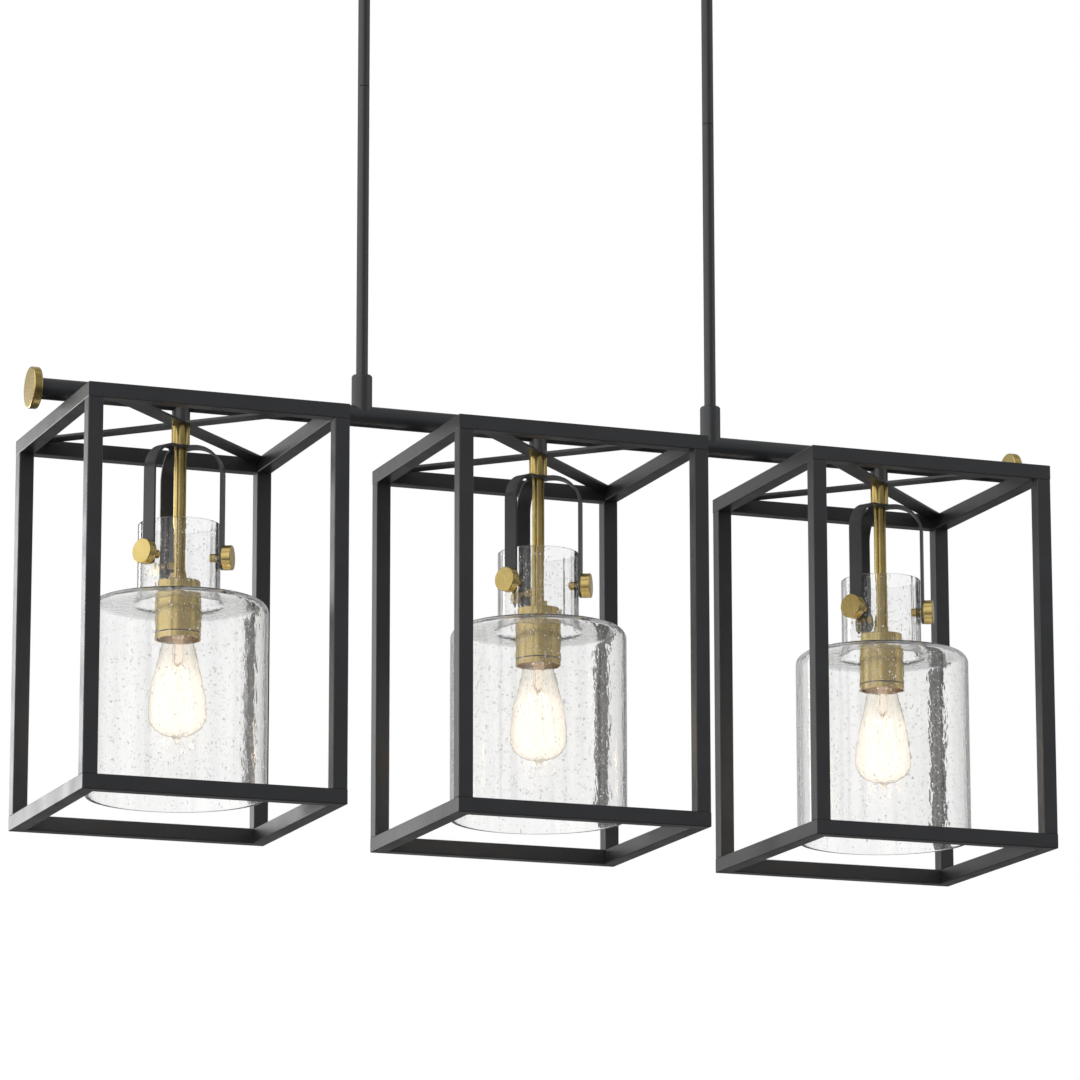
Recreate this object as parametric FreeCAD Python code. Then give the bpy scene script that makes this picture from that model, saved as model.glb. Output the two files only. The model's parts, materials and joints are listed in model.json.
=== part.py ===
"""Linear island pendant: a canopy, two swivelling rods, a bar and a row of caged glass lamps.

Millimetres. The origin is at the centre of the mounting bracket's ceiling face.
X runs along the bar, Z points up, and the lamps hang below.
"""
import FreeCAD, Part
import math
import os

# Lamp row and bar
LAMP_NAMES = ("left", "middle", "right")
LAMP_PITCH = 381.0
BAR_RADIUS = 10.75
BAR_WALL = 1.25
BAR_OVERHANG = 148.0
BAR_RISE = 22.5
END_CAP_RADIUS = 21.0
END_CAP_THICKNESS = 9.0
END_CAP_ROUNDING = 1.5
END_CAP_SPIGOT = 12.0

# Threaded nipples, which join the rods and the stems
NIPPLE_RADIUS = 5.0
NIPPLE_BORE = 3.5
NIPPLE_GRIP = 14.0

# Rods and their fittings on the bar
SIDES = (("left", -1), ("right", 1))
ROD_SPACING = 381.0
ROD_SECTION = 304.8
ROD_RADIUS = 6.0
ROD_CHAMFER = 0.4
FITTING_RADIUS = 10.5
FITTING_HEIGHT = 42.8
FITTING_ROUNDING = 2.5

# Swivels
SWIVEL_DROP = 27.0
BALL_RADIUS = 16.0
BALL_TOP = 10.0
BALL_BOTTOM = 13.0
BALL_CLEARANCE = 0.3
SEAT_WALL = 3.7
SEAT_LIP = 9.0
SEAT_DEPTH = 13.0
SEAT_FLANGE = 4.0
SEAT_FLANGE_THICKNESS = 2.5
RING_NUT_RIM = 5.0
RING_NUT_THICKNESS = 4.0

# Canopy
CANOPY_LENGTH = 609.6
CANOPY_WIDTH = 120.0
CANOPY_HEIGHT = 25.4
CANOPY_WALL = 1.2
CANOPY_CORNER = 8.0
CANOPY_EDGE = 2.0
HOLE_PLAY = 0.25

# Mounting bracket and its hardware
BRACKET_LENGTH = 260.0
BRACKET_WIDTH = 28.0
BRACKET_THICKNESS = 2.5
SLOT_SPACING = 88.9
SLOT_LENGTH = 14.0
SLOT_WIDTH = 4.8
STUD_SPACING = 210.0
STUD_RADIUS = 2.5
STUD_NUT_WIDTH = 8.0
STUD_NUT_THICKNESS = 4.0
CAP_NUT_RADIUS = 6.5
CAP_NUT_HEIGHT = 9.0
CAP_NUT_GRIP = 6.0
GROUND_SCREW_PLACE = 18.0
GROUND_SCREW_RADIUS = 2.0
GROUND_HEAD_RADIUS = 4.2
GROUND_HEAD_HEIGHT = 2.6

# Cage
CAGE_WIDTH = 266.7
CAGE_HEIGHT = 400.0
TUBE_SIZE = 15.2
TUBE_WALL = 1.2
TUBE_CORNER = 1.0
BRACE_WIDTH = 18.5
BRACE_THICKNESS = 2.5

# Stem
COUPLER_RADIUS = 9.2
COLLAR_RADIUS = 9.2
COLLAR_LENGTH = 21.5
STEM_RADIUS = 6.25
STEM_LENGTH = 127.0

# Shade harness and thumb screws
STRAP_WIDTH = 14.5
STRAP_THICKNESS = 2.5
STRAP_REACH = 43.5
STRAP_BEND = 29.0
STRAP_TAIL = 11.5
STRAP_END_CORNER = 3.0
HUB_RADIUS = 12.0
SCREW_DROP = 112.5
SCREW_SIDES = ("back", "front_left", "front_right")
SCREW_RADIUS = 4.25
SCREW_PLAY = 0.08
SCREW_REACH = 11.7
SCREW_CHAMFER = 0.5
KNOB_RADIUS = 12.5
KNOB_THICKNESS = 9.5
KNOB_CHAMFER = 0.6
KNOB_GAP = 0.15

# Glass shade, measured down from the thumb screws' axis
GLASS_WALL = 3.5
NECK_RADIUS = 41.2
NECK_ABOVE_SCREW = 35.0
SHOULDER_BELOW_SCREW = 43.5
BODY_RADIUS = 89.5
BODY_LENGTH = 196.0
NECK_FILLET = 5.0
SHOULDER_FILLET = 11.0
GLASS_RIM = 1.2
GLASS_HOLE_RADIUS = 5.0

# Socket cup, porcelain and screw shell
FERRULE_RADIUS = 7.4
FERRULE_HEIGHT = 8.5
CUP_RADIUS = 22.75
CUP_WALL = 1.5
CUP_TOP = 2.0
CUP_HEIGHT = 58.5
CUP_ROUNDING = 1.2
CUP_GROOVE_RISE = 5.5
CUP_GROOVE_WIDTH = 1.2
CUP_GROOVE_DEPTH = 0.9
PORCELAIN_RADIUS = 19.5
PORCELAIN_HEIGHT = 48.0
PORCELAIN_FLOOR = 14.5
SHELL_PLAY = 0.35
SHELL_WALL = 0.65
SHELL_LENGTH = 30.0
CONTACT_LENGTH = 8.0
CONTACT_WIDTH = 5.0
CONTACT_DROP = 3.2

# Bulb: a pear-shaped bulb with a 26 mm screw cap
TIP_GAP = 0.3
TIP_RADIUS = 4.5
TIP_HEIGHT = 2.2
INSULATOR_HEIGHT = 3.0
CAP_RADIUS = 13.0
CAP_ROOT_RADIUS = 12.3
CAP_TOP_RADIUS = 8.0
CAP_WALL = 0.6
CAP_LENGTH = 22.0
THREAD_PITCH = 3.629
THREAD_RIDGES = 4
BULB_WALL = 0.9
BULB_NECK_RADIUS = 13.2
BULB_SPIGOT = 5.0
BULB_WIDEST = 28.9
BULB_WIDEST_DROP = 85.0
BULB_CROWN_RADIUS = 6.0
BULB_CROWN_DROP = 108.5
BULB_TIP_DROP = 116.5
BULB_TIP_RADIUS = 2.6
BULB_TIP_ROUNDING = 1.0

# Levels worked out from the sizes above
CANOPY_FLOOR = -CANOPY_HEIGHT + CANOPY_WALL
SWIVEL_Z = -SWIVEL_DROP
ROD_TOP = SWIVEL_Z - BALL_BOTTOM
ROD_SEAM = ROD_TOP - ROD_SECTION
ROD_BOTTOM = ROD_SEAM - ROD_SECTION
BAR_Z = ROD_BOTTOM - FITTING_HEIGHT
CAGE_TOP = BAR_Z - BAR_RISE
BRACE_TOP = CAGE_TOP - TUBE_CORNER
COLLAR_TOP = BRACE_TOP - BRACE_THICKNESS
HUB_TOP = COLLAR_TOP - COLLAR_LENGTH
HUB_BOTTOM = HUB_TOP - STRAP_THICKNESS
STEM_BOTTOM = HUB_BOTTOM - STEM_LENGTH
SCREW_Z = HUB_BOTTOM - SCREW_DROP
NECK_TOP = SCREW_Z + NECK_ABOVE_SCREW
SHOULDER_Z = SCREW_Z - SHOULDER_BELOW_SCREW
GLASS_BOTTOM = SHOULDER_Z - BODY_LENGTH
CUP_Z = STEM_BOTTOM - FERRULE_HEIGHT
CUP_BOTTOM = CUP_Z - CUP_HEIGHT
PORCELAIN_TOP = CUP_Z - CUP_TOP
SOCKET_FLOOR = PORCELAIN_TOP - PORCELAIN_FLOOR
CONTACT_Z = SOCKET_FLOOR - CONTACT_DROP
TIP_TOP = CONTACT_Z - TIP_GAP
CAP_TOP = TIP_TOP - TIP_HEIGHT - INSULATOR_HEIGHT
CAP_BOTTOM = CAP_TOP - CAP_LENGTH
SHELL_RADIUS = CAP_RADIUS + SHELL_PLAY
BALL_SPACE = BALL_RADIUS + BALL_CLEARANCE
SEAT_RADIUS = BALL_SPACE + SEAT_WALL
STRAP_INSIDE = STRAP_REACH - STRAP_THICKNESS / 2
STRAP_OUTSIDE = STRAP_REACH + STRAP_THICKNESS / 2
BAR_BORE = BAR_RADIUS - BAR_WALL
TUBE_MIDDLE = CAGE_WIDTH / 2 - TUBE_SIZE / 2
RAIL_INSIDE = CAGE_WIDTH / 2 - TUBE_SIZE
BAR_HALF = LAMP_PITCH * (len(LAMP_NAMES) - 1) / 2 + BAR_OVERHANG

Z_AXIS = FreeCAD.Vector(0, 0, 1)
ORIGIN = FreeCAD.Vector(0, 0, 0)


def at(x, y, z):
    return FreeCAD.Vector(x, y, z)


def cylinder(radius, low, high, x=0.0, y=0.0):
    """An upright cylinder between two levels."""
    return Part.makeCylinder(radius, high - low, at(x, y, low))


def ring(outer, inner, low, high, x=0.0):
    """An upright tube between two levels."""
    return cylinder(outer, low, high, x).cut(cylinder(inner, low, high, x))


def block(length, width, low, high, x=0.0, y=0.0):
    """A box centred on x and y between two levels."""
    corner = at(x - length / 2, y - width / 2, low)
    return Part.makeBox(length, width, high - low, corner)


def line(a, b):
    """A straight edge between two (radius, level) points in the XZ plane."""
    return Part.makeLine(at(a[0], 0, a[1]), at(b[0], 0, b[1]))


def arc(centre, radius, start, end):
    """An arc in the XZ plane about (radius, level), with its angles in degrees."""
    points = []
    for angle in (start, (start + end) / 2, end):
        turn = math.radians(angle)
        points.append(at(centre[0] + radius * math.cos(turn), 0, centre[1] + radius * math.sin(turn)))
    return Part.Arc(*points).toShape()


def spline(points):
    """A smooth edge through (radius, level) points in the XZ plane."""
    curve = Part.BSplineCurve()
    curve.interpolate([at(radius, 0, level) for radius, level in points])
    return curve.toShape()


def chain(points):
    """Straight edges through the points, in order."""
    return [line(a, b) for a, b in zip(points, points[1:])]


def turned(edges):
    """The solid that a closed outline of edges sweeps about the Z axis."""
    return Part.Face(Part.Wire(edges)).revolve(ORIGIN, Z_AXIS, 360)


def turned_outline(points):
    """The solid that a closed outline of straight lines sweeps about the Z axis."""
    return turned(chain(list(points) + [points[0]]))


def edges_at(shape, level, radius=None):
    """The edges of a shape that lie flat at a level, with the given radius if there is one."""
    found = []
    for edge in shape.Edges:
        box = edge.BoundBox
        flat = abs(box.ZMin - level) < 1e-6 and abs(box.ZMax - level) < 1e-6
        if flat and (radius is None or abs(box.XLength / 2 - radius) < 1e-6):
            found.append(edge)
    return found


def moved(shape, x=0.0, y=0.0, z=0.0):
    copy = shape.copy()
    copy.translate(at(x, y, z))
    return copy


def turned_about_z(shape, degrees):
    copy = shape.copy()
    copy.rotate(ORIGIN, Z_AXIS, degrees)
    return copy


def lamp_places():
    """Each lamp's name and its place along the bar."""
    middle = (len(LAMP_NAMES) - 1) / 2
    return [(name, (index - middle) * LAMP_PITCH) for index, name in enumerate(LAMP_NAMES)]


def rod_places():
    """Each rod's side and its place along the bar."""
    return [(side, sign * ROD_SPACING / 2) for side, sign in SIDES]


def screw_turns():
    """Each thumb screw's side and its turn about the stem in degrees, the first at the back."""
    return [(side, 90 + 360 * index / len(SCREW_SIDES)) for index, side in enumerate(SCREW_SIDES)]


def mounting_bracket():
    """A steel strap with two slots for the outlet box and threaded holes for its hardware."""
    strap = block(BRACKET_LENGTH, BRACKET_WIDTH, -BRACKET_THICKNESS, 0)
    holes = []
    straight = SLOT_LENGTH - SLOT_WIDTH
    for sign in (-1, 1):
        middle = sign * SLOT_SPACING / 2
        holes.append(block(straight, SLOT_WIDTH, -BRACKET_THICKNESS, 0, middle))
        for end in (-1, 1):
            holes.append(cylinder(SLOT_WIDTH / 2, -BRACKET_THICKNESS, 0, middle + end * straight / 2))
        holes.append(cylinder(STUD_RADIUS, -BRACKET_THICKNESS, 0, sign * STUD_SPACING / 2))
    holes.append(cylinder(GROUND_SCREW_RADIUS, -BRACKET_THICKNESS, 0, GROUND_SCREW_PLACE))
    return strap.cut(holes)


def ground_screw():
    """A screw driven up into the bracket."""
    head_top = -BRACKET_THICKNESS
    head = cylinder(GROUND_HEAD_RADIUS, head_top - GROUND_HEAD_HEIGHT, head_top, GROUND_SCREW_PLACE)
    return head.fuse(cylinder(GROUND_SCREW_RADIUS, head_top, 0, GROUND_SCREW_PLACE)).removeSplitter()


def canopy_studs():
    """Two threaded studs that stand down from the bracket through the canopy."""
    low = -CANOPY_HEIGHT - CAP_NUT_GRIP
    return [cylinder(STUD_RADIUS, low, 0, sign * STUD_SPACING / 2) for sign in (-1, 1)]


def stud_nuts():
    """Hexagon nuts that lock the studs to the bracket."""
    corner = STUD_NUT_WIDTH / math.sqrt(3)
    low = -BRACKET_THICKNESS - STUD_NUT_THICKNESS
    nuts = []
    for sign in (-1, 1):
        place = sign * STUD_SPACING / 2
        points = []
        for step in range(7):
            turn = math.radians(60 * step)
            points.append(at(place + corner * math.cos(turn), corner * math.sin(turn), low))
        prism = Part.Face(Part.makePolygon(points)).extrude(at(0, 0, STUD_NUT_THICKNESS))
        nuts.append(prism.cut(cylinder(STUD_RADIUS, low, -BRACKET_THICKNESS, place)))
    return nuts


def canopy_cap_nuts():
    """Domed nuts that hold the canopy up by its studs."""
    top = -CANOPY_HEIGHT
    wall = CAP_NUT_HEIGHT - CAP_NUT_RADIUS
    edges = chain([(0, top), (CAP_NUT_RADIUS, top), (CAP_NUT_RADIUS, top - wall)])
    edges.append(arc((0, top - wall), CAP_NUT_RADIUS, 0, -90))
    edges.append(line((0, top - CAP_NUT_HEIGHT), (0, top)))
    nut = turned(edges).cut(cylinder(STUD_RADIUS, top - CAP_NUT_GRIP, top))
    return [moved(nut, sign * STUD_SPACING / 2) for sign in (-1, 1)]


def canopy():
    """A long shallow pan, open at the ceiling, with holes for the swivels and the studs."""
    outer = block(CANOPY_LENGTH, CANOPY_WIDTH, -CANOPY_HEIGHT, 0)
    upright = [edge for edge in outer.Edges if edge.BoundBox.ZLength > CANOPY_HEIGHT / 2]
    outer = outer.makeFillet(CANOPY_CORNER, upright)
    outer = outer.makeFillet(CANOPY_EDGE, edges_at(outer, -CANOPY_HEIGHT))
    inner = block(CANOPY_LENGTH - 2 * CANOPY_WALL, CANOPY_WIDTH - 2 * CANOPY_WALL, CANOPY_FLOOR, 0)
    upright = [edge for edge in inner.Edges if edge.BoundBox.ZLength > CANOPY_HEIGHT / 2]
    inner = inner.makeFillet(CANOPY_CORNER - CANOPY_WALL, upright)
    holes = [inner]
    for _, place in rod_places():
        holes.append(cylinder(SEAT_RADIUS + HOLE_PLAY, -CANOPY_HEIGHT, CANOPY_FLOOR, place))
    for sign in (-1, 1):
        radius = STUD_RADIUS + HOLE_PLAY
        holes.append(cylinder(radius, -CANOPY_HEIGHT, CANOPY_FLOOR, sign * STUD_SPACING / 2))
    return outer.cut(holes)


def swivel_seat():
    """A flanged ring that hangs in the canopy's hole, with a round seat for the ball."""
    low = SWIVEL_Z - SEAT_DEPTH
    flange_top = CANOPY_FLOOR + SEAT_FLANGE_THICKNESS
    body = cylinder(SEAT_RADIUS, low, flange_top)
    body = body.fuse(cylinder(SEAT_RADIUS + SEAT_FLANGE, CANOPY_FLOOR, flange_top)).removeSplitter()
    lip_radius = math.sqrt(BALL_SPACE ** 2 - SEAT_LIP ** 2)
    flare = SEAT_DEPTH - SEAT_LIP
    mouth = Part.makeCone(lip_radius + flare, lip_radius, flare, at(0, 0, low))
    space = Part.makeSphere(BALL_SPACE, at(0, 0, SWIVEL_Z))
    space = space.common(block(3 * BALL_SPACE, 3 * BALL_SPACE, SWIVEL_Z - SEAT_LIP, SWIVEL_Z))
    return body.cut([mouth, space, cylinder(BALL_SPACE, SWIVEL_Z, flange_top)])


def ring_nuts():
    """Round nuts that clamp the seats to the canopy from below."""
    low = -CANOPY_HEIGHT - RING_NUT_THICKNESS
    return [ring(SEAT_RADIUS + RING_NUT_RIM, SEAT_RADIUS, low, -CANOPY_HEIGHT, place)
            for _, place in rod_places()]


def swivel_ball():
    """A ball with a flat top and bottom, bored for the rod's nipple."""
    ball = Part.makeSphere(BALL_RADIUS, at(0, 0, SWIVEL_Z))
    size = 3 * BALL_RADIUS
    ball = ball.common(block(size, size, SWIVEL_Z - BALL_BOTTOM, SWIVEL_Z + BALL_TOP))
    return ball.cut(cylinder(NIPPLE_RADIUS, SWIVEL_Z - BALL_BOTTOM, SWIVEL_Z + BALL_TOP))


def rod_section(top):
    """One rod section, with a small chamfer at each end that shows at the seam."""
    bottom = top - ROD_SECTION
    rod = ring(ROD_RADIUS, NIPPLE_RADIUS, bottom, top)
    ends = edges_at(rod, top, ROD_RADIUS) + edges_at(rod, bottom, ROD_RADIUS)
    return rod.makeChamfer(ROD_CHAMFER, ends)


def nipple(low, high, x):
    return ring(NIPPLE_RADIUS, NIPPLE_BORE, low, high, x)


def threaded_nipples():
    """The hollow threaded joiners inside the rods and the stems."""
    pieces = []
    for _, place in rod_places():
        pieces.append(nipple(ROD_TOP - NIPPLE_GRIP, ROD_TOP + NIPPLE_GRIP, place))
        pieces.append(nipple(ROD_SEAM - NIPPLE_GRIP, ROD_SEAM + NIPPLE_GRIP, place))
        pieces.append(nipple(ROD_BOTTOM - NIPPLE_GRIP, ROD_BOTTOM + NIPPLE_GRIP, place))
    for _, place in lamp_places():
        pieces.append(nipple(HUB_BOTTOM - NIPPLE_GRIP, BAR_Z - BAR_BORE / 2, place))
        pieces.append(nipple(SOCKET_FLOOR + NIPPLE_GRIP / 3, STEM_BOTTOM + NIPPLE_GRIP, place))
    return pieces


def bar_cylinder(radius, half_length):
    """A cylinder along the bar's axis."""
    return Part.makeCylinder(radius, 2 * half_length, at(-half_length, 0, BAR_Z), at(1, 0, 0))


def rod_fitting():
    """A sleeve with a rounded top that stands on the bar, bored for the nipple and the wires."""
    sleeve = cylinder(FITTING_RADIUS, BAR_Z, ROD_BOTTOM)
    sleeve = sleeve.makeFillet(FITTING_ROUNDING, edges_at(sleeve, ROD_BOTTOM, FITTING_RADIUS))
    bore = cylinder(NIPPLE_RADIUS, BAR_Z, ROD_BOTTOM)
    return sleeve.cut([bar_cylinder(BAR_RADIUS, 2 * FITTING_RADIUS), bore])


def main_bar():
    """A round tube with holes for the rods' wires and the stems' nipples."""
    tube = bar_cylinder(BAR_RADIUS, BAR_HALF).cut(bar_cylinder(BAR_BORE, BAR_HALF))
    holes = [cylinder(NIPPLE_RADIUS, BAR_Z, BAR_Z + 2 * BAR_RADIUS, place) for _, place in rod_places()]
    for _, place in lamp_places():
        holes.append(cylinder(NIPPLE_RADIUS, BAR_Z - 2 * BAR_RADIUS, BAR_Z, place))
    return tube.cut(holes)


def end_cap(sign):
    """A rounded disc on the bar's end, with a spigot in the tube."""
    disc = Part.makeCylinder(END_CAP_RADIUS, END_CAP_THICKNESS)
    disc = disc.makeFillet(END_CAP_ROUNDING, edges_at(disc, 0) + edges_at(disc, END_CAP_THICKNESS))
    spigot = Part.makeCylinder(BAR_BORE, END_CAP_SPIGOT, at(0, 0, -END_CAP_SPIGOT))
    cap = disc.fuse(spigot)
    cap.rotate(ORIGIN, at(0, 1, 0), 90 * sign)
    return moved(cap, sign * BAR_HALF, 0, BAR_Z)


def stem_couplers():
    """Round spacers between the bar and each cage's brace."""
    saddle = bar_cylinder(BAR_RADIUS, 2 * COUPLER_RADIUS)
    coupler = ring(COUPLER_RADIUS, NIPPLE_RADIUS, BRACE_TOP, BAR_Z).cut(saddle)
    return [moved(coupler, place) for _, place in lamp_places()]


def stem_collars():
    """Collars that clamp each cage's brace from below."""
    collar = ring(COLLAR_RADIUS, NIPPLE_RADIUS, HUB_TOP, COLLAR_TOP)
    return [moved(collar, place) for _, place in lamp_places()]


def square_tube(length):
    """A square tube with rounded edges, centred on the origin along X."""
    outer = Part.makeBox(length, TUBE_SIZE, TUBE_SIZE, at(-length / 2, -TUBE_SIZE / 2, -TUBE_SIZE / 2))
    along = [edge for edge in outer.Edges if edge.BoundBox.XLength > length / 2]
    outer = outer.makeFillet(TUBE_CORNER, along)
    inside = TUBE_SIZE - 2 * TUBE_WALL
    return outer.cut(Part.makeBox(length, inside, inside, at(-length / 2, -inside / 2, -inside / 2)))


def cage_rails(level):
    """Four mitred rails that make one square of the cage, centred on a level."""
    half = CAGE_WIDTH / 2
    low = level - TUBE_SIZE
    corners = [at(0, 0, low), at(-half, -half, low), at(half, -half, low), at(0, 0, low)]
    wedge = Part.Face(Part.makePolygon(corners)).extrude(at(0, 0, 2 * TUBE_SIZE))
    rail = moved(square_tube(CAGE_WIDTH), 0, -TUBE_MIDDLE, level).common(wedge)
    return [turned_about_z(rail, 90 * quarter) for quarter in range(4)]


def cage_posts():
    """Four posts between the upper and the lower rails."""
    post = square_tube(CAGE_HEIGHT - 2 * TUBE_SIZE)
    post.rotate(ORIGIN, at(0, 1, 0), 90)
    middle = CAGE_TOP - CAGE_HEIGHT / 2
    return [moved(post, x * TUBE_MIDDLE, y * TUBE_MIDDLE, middle) for x in (-1, 1) for y in (-1, 1)]


def cage_brace():
    """A flat bar from corner to corner, crossed by two half bars, with a hole for the nipple."""
    bottom = BRACE_TOP - BRACE_THICKNESS
    flat = block(2 * CAGE_WIDTH, BRACE_WIDTH, bottom, BRACE_TOP)
    inside = block(2 * RAIL_INSIDE, 2 * RAIL_INSIDE, bottom, BRACE_TOP)
    whole = turned_about_z(flat, 45).common(inside)
    halves = turned_about_z(flat, 135).common(inside).cut(whole)
    return [whole.cut(cylinder(NIPPLE_RADIUS, bottom, BRACE_TOP))] + halves.Solids


def cage_frame():
    """The welded cage: two squares of rails, four posts and the brace."""
    upper = cage_rails(CAGE_TOP - TUBE_SIZE / 2)
    lower = cage_rails(CAGE_TOP - CAGE_HEIGHT + TUBE_SIZE / 2)
    return Part.makeCompound(upper + lower + cage_posts() + cage_brace())


def stem():
    """The tube from the harness's hub to the socket cup."""
    return ring(STEM_RADIUS, NIPPLE_RADIUS, STEM_BOTTOM, HUB_BOTTOM)


def harness_arm():
    """One strap that leaves the hub along +X, bends down and passes the screw."""
    centre = (STRAP_REACH - STRAP_BEND, HUB_TOP - STRAP_THICKNESS / 2 - STRAP_BEND)
    low = SCREW_Z - STRAP_TAIL
    outside = STRAP_BEND + STRAP_THICKNESS / 2
    inside = STRAP_BEND - STRAP_THICKNESS / 2
    edges = [line((0, HUB_TOP), (centre[0], HUB_TOP)), arc(centre, outside, 90, 0)]
    edges += chain([(STRAP_OUTSIDE, centre[1]), (STRAP_OUTSIDE, low), (STRAP_INSIDE, low),
                    (STRAP_INSIDE, centre[1])])
    edges += [arc(centre, inside, 0, 90)]
    edges += chain([(centre[0], HUB_BOTTOM), (0, HUB_BOTTOM), (0, HUB_TOP)])
    arm = Part.Face(Part.Wire(edges)).extrude(at(0, STRAP_WIDTH, 0))
    arm.translate(at(0, -STRAP_WIDTH / 2, 0))
    corners = [edge for edge in edges_at(arm, low) if edge.BoundBox.XLength > STRAP_THICKNESS / 2]
    arm = arm.makeFillet(STRAP_END_CORNER, corners)
    hole = Part.makeCylinder(SCREW_RADIUS + SCREW_PLAY, 2 * STRAP_REACH, at(0, 0, SCREW_Z), at(1, 0, 0))
    return arm.cut(hole)


def shade_harness():
    """The hub and its three arms, pressed from one plate."""
    hub = cylinder(HUB_RADIUS, HUB_BOTTOM, HUB_TOP)
    arms = [turned_about_z(harness_arm(), degrees) for _, degrees in screw_turns()]
    whole = hub.fuse(arms).removeSplitter()
    return whole.cut(cylinder(NIPPLE_RADIUS, HUB_BOTTOM, HUB_TOP))


def thumb_screw(degrees):
    """A disc knob on a plain-ended screw that points at the stem."""
    knob_in = STRAP_OUTSIDE + KNOB_GAP
    knob_out = knob_in + KNOB_THICKNESS
    tip = STRAP_INSIDE - SCREW_REACH
    outline = [(0, tip), (SCREW_RADIUS - SCREW_CHAMFER, tip), (SCREW_RADIUS, tip + SCREW_CHAMFER),
               (SCREW_RADIUS, knob_in), (KNOB_RADIUS - KNOB_CHAMFER, knob_in),
               (KNOB_RADIUS, knob_in + KNOB_CHAMFER), (KNOB_RADIUS, knob_out - KNOB_CHAMFER),
               (KNOB_RADIUS - KNOB_CHAMFER, knob_out), (0, knob_out)]
    screw = turned_outline(outline)
    screw.rotate(ORIGIN, at(0, 1, 0), 90)
    return turned_about_z(moved(screw, 0, 0, SCREW_Z), degrees)


def glass_shade():
    """A bottle-shaped shade, open at both ends, with holes for the screws in its neck."""
    neck_in = NECK_RADIUS - GLASS_WALL
    body_in = BODY_RADIUS - GLASS_WALL
    inner_corner = SHOULDER_FILLET - GLASS_WALL
    neck_centre = (NECK_RADIUS + NECK_FILLET, SHOULDER_Z + NECK_FILLET)
    body_centre = (BODY_RADIUS - SHOULDER_FILLET, SHOULDER_Z - SHOULDER_FILLET)
    edges = [line((NECK_RADIUS, NECK_TOP), (NECK_RADIUS, neck_centre[1]))]
    edges += [arc(neck_centre, NECK_FILLET, 180, 270)]
    edges += [line((neck_centre[0], SHOULDER_Z), (body_centre[0], SHOULDER_Z))]
    edges += [arc(body_centre, SHOULDER_FILLET, 90, 0)]
    edges += chain([(BODY_RADIUS, body_centre[1]), (BODY_RADIUS, GLASS_BOTTOM),
                    (body_in, GLASS_BOTTOM), (body_in, body_centre[1])])
    edges += [arc(body_centre, inner_corner, 0, 90)]
    edges += [line((body_centre[0], SHOULDER_Z - GLASS_WALL), (neck_centre[0], SHOULDER_Z - GLASS_WALL))]
    edges += [arc(neck_centre, NECK_FILLET + GLASS_WALL, 270, 180)]
    edges += chain([(neck_in, neck_centre[1]), (neck_in, NECK_TOP), (NECK_RADIUS, NECK_TOP)])
    shade = turned(edges)
    shade = shade.makeFillet(GLASS_RIM, edges_at(shade, NECK_TOP) + edges_at(shade, GLASS_BOTTOM))
    holes = []
    for _, degrees in screw_turns():
        hole = Part.makeCylinder(GLASS_HOLE_RADIUS, 2 * NECK_RADIUS, at(0, 0, SCREW_Z), at(1, 0, 0))
        holes.append(turned_about_z(hole, degrees))
    return shade.cut(holes)


def socket_cup():
    """A turned cup, open below, with a ferrule on top and a groove above its rim."""
    inside = CUP_RADIUS - CUP_WALL
    groove = CUP_RADIUS - CUP_GROOVE_DEPTH
    groove_low = CUP_BOTTOM + CUP_GROOVE_RISE
    groove_high = groove_low + CUP_GROOVE_WIDTH
    edges = chain([(NIPPLE_RADIUS, STEM_BOTTOM), (FERRULE_RADIUS, STEM_BOTTOM),
                   (FERRULE_RADIUS, CUP_Z), (CUP_RADIUS - CUP_ROUNDING, CUP_Z)])
    edges += [arc((CUP_RADIUS - CUP_ROUNDING, CUP_Z - CUP_ROUNDING), CUP_ROUNDING, 90, 0)]
    edges += chain([(CUP_RADIUS, CUP_Z - CUP_ROUNDING), (CUP_RADIUS, groove_high), (groove, groove_high),
                    (groove, groove_low), (CUP_RADIUS, groove_low), (CUP_RADIUS, CUP_BOTTOM),
                    (inside, CUP_BOTTOM), (inside, PORCELAIN_TOP), (NIPPLE_RADIUS, PORCELAIN_TOP),
                    (NIPPLE_RADIUS, STEM_BOTTOM)])
    return turned(edges)


def lampholder():
    """The porcelain body, with a hole above for the nipple and a deep bore below."""
    low = PORCELAIN_TOP - PORCELAIN_HEIGHT
    bore = SHELL_RADIUS + SHELL_WALL
    body = cylinder(PORCELAIN_RADIUS, low, PORCELAIN_TOP)
    return body.cut([cylinder(bore, low, SOCKET_FLOOR),
                     cylinder(NIPPLE_RADIUS, SOCKET_FLOOR + NIPPLE_GRIP / 3, PORCELAIN_TOP)])


def lampholder_contacts():
    """The screw shell of each lampholder, and the strip that the bulb's tip presses on."""
    pieces = []
    for _, place in lamp_places():
        low = SOCKET_FLOOR - SHELL_LENGTH
        pieces.append(ring(SHELL_RADIUS + SHELL_WALL, SHELL_RADIUS, low, SOCKET_FLOOR, place))
        pieces.append(block(CONTACT_LENGTH, CONTACT_WIDTH, CONTACT_Z, SOCKET_FLOOR, place))
    return pieces


def bulb_tip():
    """The bulb's contact and the insulator round it."""
    low = CAP_TOP
    waist = TIP_TOP - TIP_HEIGHT
    return turned_outline([(0, low), (CAP_TOP_RADIUS - CAP_WALL, low), (TIP_RADIUS, waist),
                           (TIP_RADIUS, TIP_TOP - TIP_HEIGHT / 2), (TIP_RADIUS / 2, TIP_TOP), (0, TIP_TOP)])


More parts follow.
